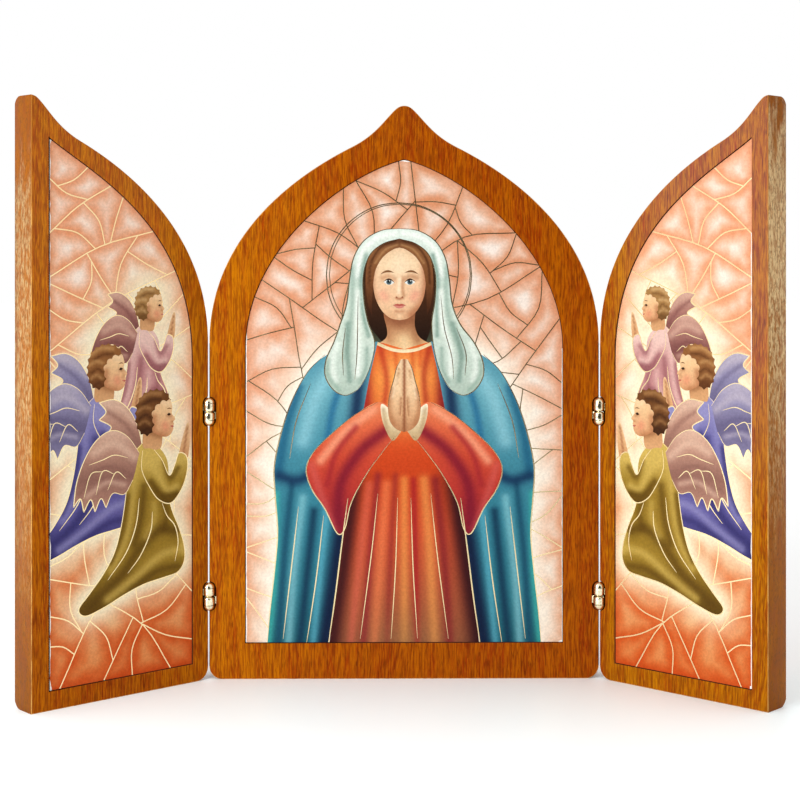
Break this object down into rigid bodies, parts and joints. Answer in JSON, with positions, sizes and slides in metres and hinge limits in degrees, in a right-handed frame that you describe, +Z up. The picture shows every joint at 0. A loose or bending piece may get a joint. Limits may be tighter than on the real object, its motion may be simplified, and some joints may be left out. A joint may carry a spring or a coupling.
{
  "type": "triptych altarpiece",
  "caption": "Small free-standing triptych with an arched centre board, two folding wings, printed sacred pictures and brass barrel hinges.",
  "frame": {"origin": "middle of the centre board's underside, at mid thickness", "axes": "+X across the altarpiece, +Y from the pictured front to the back, +Z up"},
  "size_m": [0.3292, 0.0734, 0.26],
  "materials": {
    "board_wood": "satin varnished veneer",
    "picture_print": "satin print with gold foil lines",
    "hinge_brass": "polished"
  },
  "bodies": {
    "centre": {"centre_board": "board_wood", "centre_picture": "picture_print", "left_upper_hinge_centre_leaf": "hinge_brass", "left_upper_hinge_pin": "hinge_brass", "left_lower_hinge_centre_leaf": "hinge_brass", "left_lower_hinge_pin": "hinge_brass", "right_upper_hinge_centre_leaf": "hinge_brass", "right_upper_hinge_pin": "hinge_brass", "right_lower_hinge_centre_leaf": "hinge_brass", "right_lower_hinge_pin": "hinge_brass"},
    "left_wing": {"left_wing_board": "board_wood", "left_wing_picture": "picture_print", "left_upper_hinge_wing_leaf": "hinge_brass", "left_lower_hinge_wing_leaf": "hinge_brass"},
    "right_wing": {"right_wing_board": "board_wood", "right_wing_picture": "picture_print", "right_upper_hinge_wing_leaf": "hinge_brass", "right_lower_hinge_wing_leaf": "hinge_brass"}
  },
  "joints": [
    {"name": "left_wing_hinge", "type": "hinge", "parent": "centre", "child": "left_wing", "pos_m": [-0.0885, -0.0077, 0.08], "axis": [0, 0, 1], "range_deg": [-41.5, 138.5]},
    {"name": "right_wing_hinge", "type": "hinge", "parent": "centre", "child": "right_wing", "pos_m": [0.0885, -0.0077, 0.08], "axis": [0, 0, -1], "range_deg": [-41.5, 138.5]}
  ]
}
